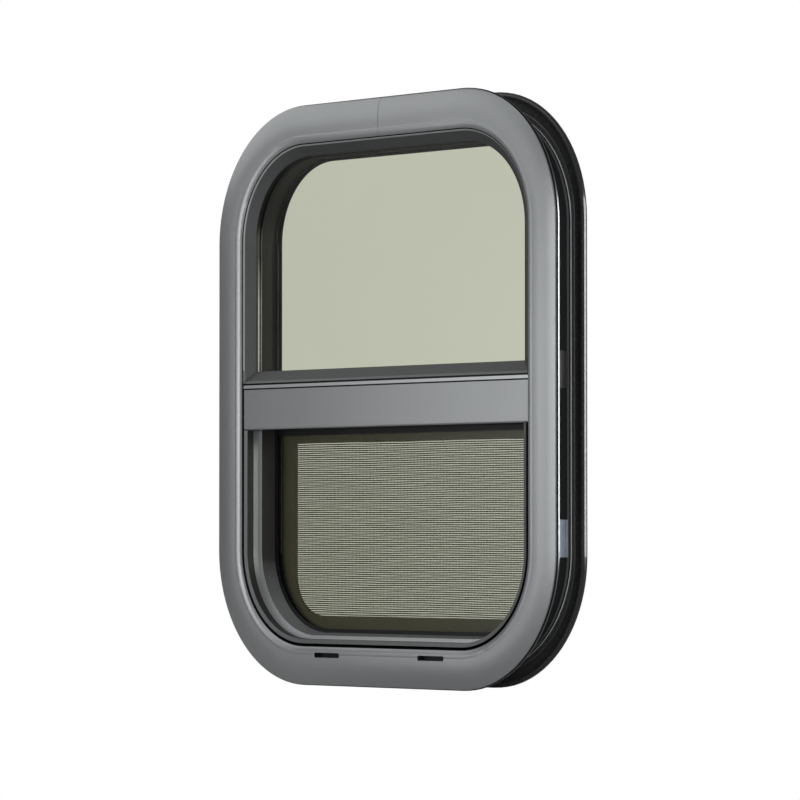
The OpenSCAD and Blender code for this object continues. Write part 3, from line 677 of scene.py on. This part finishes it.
def white_world():
    """White to the camera; to the part a dim room that is brighter above and to the right."""
    world = bpy.data.worlds.new("studio")
    bpy.context.scene.world = world
    world.use_nodes = True
    nodes, links = world.node_tree.nodes, world.node_tree.links
    nodes.clear()
    plain = nodes.new("ShaderNodeBackground")
    plain.inputs["Color"].default_value = (1, 1, 1, 1)
    plain.inputs["Strength"].default_value = 1.0
    axis = nodes.new("ShaderNodeVectorMath")
    axis.operation = "DOT_PRODUCT"
    axis.inputs[1].default_value = (0.55, -0.45, 0.45)
    links.new(nodes.new("ShaderNodeTexCoord").outputs["Generated"], axis.inputs[0])
    ramp = nodes.new("ShaderNodeMapRange")
    for socket, value in (("From Min", -0.6), ("From Max", 0.8), ("To Min", 0.1), ("To Max", 0.2)):
        ramp.inputs[socket].default_value = value
    links.new(axis.outputs["Value"], ramp.inputs["Value"])
    room = nodes.new("ShaderNodeBackground")
    links.new(ramp.outputs["Result"], room.inputs["Strength"])
    mixer = nodes.new("ShaderNodeMixShader")
    links.new(nodes.new("ShaderNodeLightPath").outputs["Is Camera Ray"], mixer.inputs["Fac"])
    links.new(room.outputs[0], mixer.inputs[1])
    links.new(plain.outputs[0], mixer.inputs[2])
    links.new(mixer.outputs[0], nodes.new("ShaderNodeOutputWorld").inputs["Surface"])


floor_z = cad_lo.z - FLOOR_GAP
floor_corners = [(sx * FLOOR_HALF, sy * FLOOR_HALF, floor_z)
                 for sx, sy in ((-1, -1), (1, -1), (1, 1), (-1, 1))]
floor = link_mesh("floor", floor_corners, [(0, 1, 2, 3)])
floor.data.materials.append(white_stage("floor_white", (0.62, 0.62, 0.62)))
white_world()


# Lights: each is a panel that looks at the window's middle

PANEL, NEAR = 0.48, 0.9           # side of a small panel, and its distance from the window


def soft_light(name, place, width, height, power):
    data = bpy.data.lights.new(name, "AREA")
    data.shape = "RECTANGLE"
    data.size, data.size_y = width, height
    data.energy = power
    obj = bpy.data.objects.new(name, data)
    obj.location = place
    obj.rotation_mode = "QUATERNION"
    obj.rotation_quaternion = (-Vector(place)).to_track_quat("-Z", "Y")
    bpy.context.scene.collection.objects.link(obj)
    obj.visible_camera = False


def around(azimuth, elevation, distance):
    """Place at a distance; azimuth 0 is straight in front of the window and grows to the right."""
    a, e = math.radians(azimuth), math.radians(elevation)
    return (distance * math.sin(a) * math.cos(e), -distance * math.cos(a) * math.cos(e),
            distance * math.sin(e))


soft_light("near_left", around(-30, 0, NEAR), PANEL, PANEL, 1.25)
soft_light("front", (-0.1, -1.9, 0.05), 0.6, 0.9, 6.2)
soft_light("high_front", around(0, 65, NEAR), PANEL, PANEL, 0.65)
soft_light("high_middle", around(-30, 35, NEAR), PANEL, PANEL, 0.5)
soft_light("high_left", around(-60, 35, NEAR), PANEL, PANEL, 0.6)
soft_light("far_left", around(-90, 35, NEAR), PANEL, PANEL, 0.5)
soft_light("right_side", around(75, 5, 1.4), 0.5, 1.0, 4.5)
soft_light("rear_right", (2.3, 2.0, 0.0), 0.5, 2.0, 30)


# Camera at the photograph's place

CAMERA_PLACE = (3.3006, -2.8863, -0.1394)
YAW, PITCH_UP = math.radians(48.621), math.radians(1.718)

forward = Vector((-math.sin(YAW) * math.cos(PITCH_UP), math.cos(YAW) * math.cos(PITCH_UP),
                  math.sin(PITCH_UP)))
right = Vector((math.cos(YAW), math.sin(YAW), 0.0))
upward = right.cross(forward)
cam_data = bpy.data.cameras.new("camera")
cam_data.sensor_width = 36.0
cam_data.lens = 204.4
cam_data.clip_end = 50
cam = bpy.data.objects.new("camera", cam_data)
turn = Matrix((right, upward, -forward)).transposed().to_4x4()
cam.matrix_world = Matrix.Translation(CAMERA_PLACE) @ turn
bpy.context.scene.collection.objects.link(cam)
bpy.context.scene.camera = cam
bpy.context.scene.view_settings.view_transform = "Standard"
